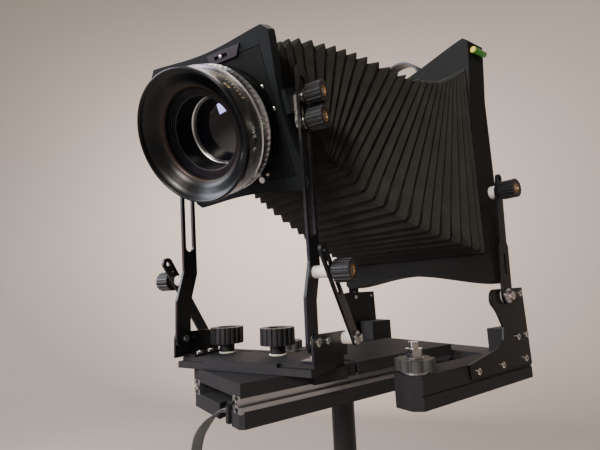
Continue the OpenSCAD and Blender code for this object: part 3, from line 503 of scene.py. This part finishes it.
# Coated cloth: a fine woven grain 0.7 mm apart, drawn 1.1 mm, and greyed where it rubs on the folds.
cloth, shader = new_finish("coated_bellows_cloth", "#131313", 0.7, IOR=1.4, Specular_IOR_Level=0.25)
spot = add_node(cloth, "TexCoord").outputs["Object"]
weave = add_node(cloth, "TexVoronoi", {"Scale": 900.0}, {"Vector": spot})
wear = add_node(cloth, "TexNoise", {"Scale": 45.0, "Detail": 5.0, "Roughness": 0.65}, {"Vector": spot})
shade = add_node(cloth, "Mix", {"A": tone("#161615"), "B": tone("#343430")},
                 {"Factor": wear.outputs["Fac"]}, data_type="RGBA")
feed(cloth, shade.outputs["Result"], shader, "Base Color")
bump = add_node(cloth, "Bump", {"Strength": 0.3, "Distance": 0.0002}, {"Height": weave.outputs["Distance"]})
feed(cloth, bump.outputs["Normal"], shader, "Normal")

around = 4 * (SIDE_STEPS + 1)
CHAIN = ("front_frame", "carriers", "uprights", "front_base", "carriage", "bed", "rear_base",
         "rear_frame")
LENGTHS = len(CHAIN) - 1
STEPS = 2 * PLEATS // LENGTHS
for part in range(LENGTHS):
    rows = folds[STEPS * part:STEPS * (part + 1) + 1]
    faces = []
    for r in range(STEPS):
        for k in range(around):
            a, b = around * r + k, around * r + (k + 1) % around
            faces.append((a, a + around, b + around, b))
    mesh = bpy.data.meshes.new("pleats")
    mesh.from_pydata([p for row in rows for p in row], [], faces)
    pleats = bpy.data.objects.new("bellows_pleats_%d" % (part + 1), mesh)
    bpy.context.scene.collection.objects.link(pleats)
    alone(pleats)
    bpy.ops.object.mode_set(mode="EDIT")
    bpy.ops.mesh.select_all(action="SELECT")
    bpy.ops.mesh.normals_make_consistent(inside=False)
    bpy.ops.object.mode_set(mode="OBJECT")
    wall = pleats.modifiers.new("wall", "SOLIDIFY")
    wall.thickness, wall.offset = 0.7 * MM, -1
    bpy.ops.object.modifier_apply(modifier="wall")
    bpy.ops.object.shade_smooth_by_angle(angle=math.radians(12))
    mesh.materials.append(cloth)
    first, last = rows[0], rows[-1]
    middles = [sum(row, Vector()) / around for row in (first, last)]
    facing = []
    for row, middle in zip((first, last), middles):
        normal = sum(((row[k] - middle).cross(row[(k + 1) % around] - middle)
                      for k in range(around)), Vector())
        facing.append(normal.normalized() * (1 if normal.dot(middles[1] - middles[0]) > 0 else -1))
    way = (facing[0] + facing[1]).normalized()
    begin, stop = max(p.dot(way) for p in first), min(p.dot(way) for p in last)
    if stop - begin < 2 * MM:
        centre = (begin + stop) / 2
        begin, stop = centre - MM, centre + MM
    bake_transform(pleats)
    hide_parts("bellows_%d" % (part + 1))

# ---------------------------------------------------------------- lens frame and board
# A printed slate-grey frame with drawn-in sides holds the square lens board; a thin latch with a
# slot grips the board's top edge, and four small screws stand around the lens.
LENS_TILT = math.radians(27.4)
LENS = (FRONT @ Matrix.Translation((0, 9.959 * MM, TILT_Z * MM)) @ Matrix.Rotation(LENS_TILT, 4, "X")
        @ Matrix.Translation((0, -26.4 * MM, -8.2 * MM)) @ Matrix.Rotation(math.radians(90), 4, "X"))
level = LENS.to_3x3().inverted().to_euler("XYZ")
slate = layered("printed_slate_petg", "#12181b", "#1e262b", level)
umber = layered("printed_umber_petg", "#0f0f0f", "#1a1918", (math.radians(90), 0, 0))
eased("front_frame", slate, 0.8)
board_black = layered("printed_black_petg", "#070a0b", "#0f1315", level)
eased("lens_board", board_black, 0.6)
eased("board_latch", moulded, 0.25)

HEAD = [(0.02, 1.0), (1.25, 1.0), (1.35, 1.75), (2.1, 1.6), (2.75, 1.1), (2.95, 0.35), (2.95, 0.02),
        (0.02, 0.02)]


def screw_head(name, place, body, size=1.0):
    """A small button-head screw with a socket; place is where its head sits, z outwards."""
    head = turned(name, [(max(0.02, r * size), z * size) for r, z in HEAD], place, 24)
    head.data.materials.append(stainless)
    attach(head, body)


for i, (x, y) in enumerate(((55, 28), (61, 5), (32, -57), (-55, 28), (-50, -50))):
    screw_head("board_screw_%d" % (i + 1), LENS @ Matrix.Translation((x * MM, y * MM, 0)), "front_frame", 0.8)
screw_head("latch_screw", LENS @ Matrix.Translation((20 * MM, 67.2 * MM, 1.9 * MM)), "board_latch", 0.7)

# ---------------------------------------------------------------- lens
# A large barrel in black enamel with a rounded rim; inside it a wide cone, fine ribs and a
# straight throat lead down to the front glass. Behind it are a bright knurled ring and the shutter.
enamel, shader = new_finish("semi_gloss_black_enamel", "#05080a", 0.3, IOR=1.5, Specular_IOR_Level=0.3)
spot = add_node(enamel, "TexCoord").outputs["Object"]
dust = add_node(enamel, "TexNoise", {"Scale": 180.0, "Detail": 5.0, "Roughness": 0.7}, {"Vector": spot})
gloss = add_node(enamel, "MapRange", {"To Min": 0.2, "To Max": 0.42}, {"Value": dust.outputs["Fac"]})
feed(enamel, gloss.outputs["Result"], shader, "Roughness")
rim = [(61.5, 36.5), (61.5, 57.2), (61.9, 57.8), (63.0, 58.0), (63.4, 58.4), (63.5, 59.0), (63.5, 62.6),
       (63.3, 63.3), (62.8, 63.8), (62.2, 64.0), (61.5, 63.9), (61.1, 63.4)]
for i in range(8):
    rim += [(60.6, 63.15 - 0.5 * i), (61.05, 62.9 - 0.5 * i)]
rim += [(60.4, 59.0), (56.6, 56.6), (56.2, 55.9), (51.6, 52.6), (51.2, 51.9), (47.0, 49.2), (46.8, 47.4)]
for i in range(7):
    rim += [(46.3 - 1.35 * i, 47.2 - 1.25 * i), (46.2 - 1.35 * i, 46.1 - 1.25 * i)]
rim += [(36.6, 38.5), (36.1, 38.2), (36.1, 36.5), (61.5, 36.5)]
barrel = turned("barrel", rim, LENS, 160)
barrel.data.materials.append(enamel)
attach(barrel, "front_frame")
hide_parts("lens_barrel")
eased("shutter", enamel, 0.4)
eased("rear_cell", enamel, 0.4)

# Turned bright aluminium: fine tool rings 0.5 mm apart streak its highlight.
bright, shader = new_finish("turned_bright_aluminium", "#cfd0d1", 0.27, 1.0)
tool = add_node(bright, "TexWave", {"Scale": 620.0, "Distortion": 1.5, "Detail": 2.0}, {"Vector": add_node(
    bright, "Mapping", {"Rotation": level}, {"Vector": add_node(bright, "TexCoord").outputs["Object"]}
    ).outputs["Vector"]}, bands_direction="Z")
gloss = add_node(bright, "MapRange", {"To Min": 0.2, "To Max": 0.4}, {"Value": tool.outputs["Fac"]})
feed(bright, gloss.outputs["Result"], shader, "Roughness")
TEETH, TOOTH_DEPTH, KNURL_BAND, KNURL_R = 72, 0.8 * MM, (23.8 * MM, 32.2 * MM), 60 * MM
ring = turned("knurled_ring", [(50.3, 20.1), (63.6, 20.1), (64.5, 20.9), (64.5, 23.6), (64.45, 24.0),
              (64.45, 32.0), (64.5, 32.4), (64.5, 35.1), (63.6, 35.9), (50.3, 35.9), (50.3, 20.1)],
              LENS, 6 * TEETH)
for v in ring.data.vertices:
    p = LENS.inverted() @ v.co
    if KNURL_BAND[0] < p.z < KNURL_BAND[1] and p.xy.length > KNURL_R:
        dip = TOOTH_DEPTH * (0.5 - 0.5 * math.cos(TEETH * math.atan2(p.y, p.x)))
        v.co = LENS @ Vector((p.x * (1 - dip / p.xy.length), p.y * (1 - dip / p.xy.length), p.z))
ring.data.materials.append(bright)
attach(ring, "aperture_ring")
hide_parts("aperture_ring")

# A bronze-tinted inner ring under the ribs, and the bright ring that holds the glass.
bronze, shader = new_finish("bronze_anodised_ring", "#2b221d", 0.4, 0.6)
for name, profile, finish in (
        ("throat_ring", [(47.1, 48.0), (47.1, 49.3), (46.6, 49.2), (43.6, 46.4), (43.4, 45.6), (44.2, 45.6),
                         (47.1, 48.0)], bronze),
        ("glass_ring", [(35.8, 11.2), (35.8, 14.6), (35.0, 15.0), (33.9, 14.4), (33.2, 13.0), (33.2, 11.2),
                        (35.8, 11.2)], bright)):
    band = turned(name, profile, LENS, 96)
    band.data.materials.append(finish)
    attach(band, "front_frame")

# Coated optical glass: its violet-black coating mirrors the room, and no light comes back through it.
glass, shader = new_finish("coated_optical_glass", "#0b0a12", 0.03, IOR=1.7, Coat_Weight=0.3,
                           Coat_Roughness=0.0)
GLASS_R, GLASS_CURVE, GLASS_TOP, GLASS_BACK, AXIS_HOLE = 33.0, 170, 15.5, 6.8, 0.02
front_face = []
for i in range(16):
    r = GLASS_R * math.cos(math.radians(6 * i))
    front_face.append((r + AXIS_HOLE, GLASS_TOP - GLASS_CURVE + math.sqrt(GLASS_CURVE ** 2 - r ** 2)))
front = turned("front_element", [(AXIS_HOLE, GLASS_BACK), (GLASS_R, GLASS_BACK)] + front_face, LENS, 96)
front.data.materials.append(glass)
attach(front, "front_frame")
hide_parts("front_glass")

# Painted scales: tan ticks with plain numbers over the barrel's top, pale numbers low on the side.
# They lie 0.06 mm outside the barrel, and every angle is in degrees around it.
BARREL_R, PAINT_T = 61.5, 0.06
TICKS, TICK_STEP, FIRST_TICK, TICK_Z, NUMBER_SIZE = 29, 3.5, 20, 42.5, 7.5
tan_paint, shader = new_finish("tan_scale_paint", "#d2b98c", 0.6)
pale_paint, shader = new_finish("pale_scale_paint", "#eeeee8", 0.6)


def around_barrel(angle, z):
    """A place on the barrel's side: x along the scale, y towards the front, z outwards."""
    turn = Matrix.Rotation(math.radians(angle), 4, "Z")
    out = Matrix.Translation(((BARREL_R + PAINT_T) * MM, 0, z * MM))
    return LENS @ turn @ out @ Matrix(((0, 0, 1, 0), (1, 0, 0, 0), (0, 1, 0, 0), (0, 0, 0, 1)))


def painted(name, finish):
    """Puts the painted mark that was just made on the barrel."""
    mark = bpy.context.object
    mark.name = name
    bpy.ops.object.transform_apply()
    mark.data.materials.append(finish)
    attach(mark, "front_frame")


for i in range(TICKS):
    shift, height = (0, 4.5) if i % 4 == 0 else (1.0, 2.5)
    bpy.ops.object.select_all(action="DESELECT")
    bpy.ops.mesh.primitive_plane_add(size=1)
    bpy.context.object.matrix_world = (around_barrel(FIRST_TICK + TICK_STEP * i, TICK_Z + shift)
                                       @ Matrix.Diagonal((0.9 * MM, height * MM, 1, 1)))
    painted("scale_tick_%d" % (i + 1), tan_paint)
numbers = [(str(2 ** (i + 2)), 90 - 14 * i, 52, tan_paint) for i in range(5)]
numbers += [("240", -10, 47, pale_paint), ("9", -24, 47, pale_paint), ("12", 200, 47, pale_paint)]
for i, (text, angle, z, finish) in enumerate(numbers):
    bpy.ops.object.select_all(action="DESELECT")
    bpy.ops.object.text_add()
    bpy.context.object.data.body = text
    bpy.context.object.data.align_x = "CENTER"
    bpy.context.object.data.resolution_u = 3
    bpy.ops.object.convert(target="MESH")
    bpy.context.object.matrix_world = (around_barrel(angle, z - 3)
                                       @ Matrix.Diagonal((NUMBER_SIZE * MM, NUMBER_SIZE * MM, 1, 1)))
    painted("scale_number_%d" % (i + 1), finish)

# ---------------------------------------------------------------- rear standard
# Two printed arms carry folded brackets, flat bars and a deep waisted frame with a ground glass
# behind it. Two star knobs clamp the arms; a round level in green acrylic sits on the frame.
eased("rear_frame", umber, 1.0)
eased("glass_back", umber, 1.0)
eased("top_strap", moulded, 0.4)

# Star knobs in a greyer nylon, rubbed pale on top.
grey_nylon, shader = new_finish("moulded_grey_nylon", "#2c2d2c", 0.5, IOR=1.5)
rub = add_node(grey_nylon, "TexNoise", {"Scale": 90.0, "Detail": 5.0, "Roughness": 0.7},
               {"Vector": add_node(grey_nylon, "TexCoord").outputs["Object"]})
shade = add_node(grey_nylon, "Mix", {"A": tone("#222323"), "B": tone("#4c4d4b")},
                 {"Factor": rub.outputs["Fac"]}, data_type="RGBA")
feed(grey_nylon, shade.outputs["Result"], shader, "Base Color")
for side, hand in ((1, "right"), (-1, "left")):
    eased("clamp_disc_" + hand, grey_nylon, 1.2, segments=3)
    washer = turned("disc_washer_" + hand, [(5.3, 46.35), (8.6, 46.35), (8.9, 46.6), (8.9, 47.1), (5.3, 47.1),
                    (5.3, 46.35)], BED @ Matrix.Translation((side * 113 * MM, 162 * MM, 0)), 40)
    washer.data.materials.append(stainless)
    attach(washer, "rear_base")

# Ground glass: finely etched, it glows where light falls through it.
frosted, shader = new_finish("ground_glass", "#e6ebeb", 0.55, IOR=1.5, Transmission_Weight=0.55)
grain = add_node(frosted, "TexNoise", {"Scale": 1600.0, "Detail": 2.0},
                 {"Vector": add_node(frosted, "TexCoord").outputs["Object"]})
bump = add_node(frosted, "Bump", {"Strength": 0.3, "Distance": 0.0002}, {"Height": grain.outputs["Fac"]})
feed(frosted, bump.outputs["Normal"], shader, "Normal")
eased("ground_glass", frosted, 0.3)

# The level: a clear green tube with rounded ends and a yellow plug.
acrylic, shader = new_finish("clear_green_acrylic", "#4fb339", 0.08, IOR=1.49, Transmission_Weight=0.45)
yellow, shader = new_finish("yellow_plastic", "#d9c63a", 0.4)
tube = BED @ Matrix.Translation((134.2 * MM, 295 * MM, 408 * MM)) @ Matrix.Rotation(math.radians(-90), 4, "X")
for name, profile, finish in (
        ("vial_tube", [(0.02, 1.6), (3.2, 1.7), (3.9, 2.3), (3.98, 3.0), (3.98, 26.0), (3.5, 26.8),
                       (0.02, 26.95)], acrylic),
        ("vial_plug", [(0.02, 0.05), (3.0, 0.1), (3.7, 0.4), (3.9, 1.0), (3.9, 2.0), (3.3, 2.2),
                       (0.02, 2.2)], yellow)):
    piece = turned(name, profile, tube, 40)
    piece.data.materials.append(finish)
    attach(piece, "rear_frame")
    if name == "vial_tube":
        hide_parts("level_vial")
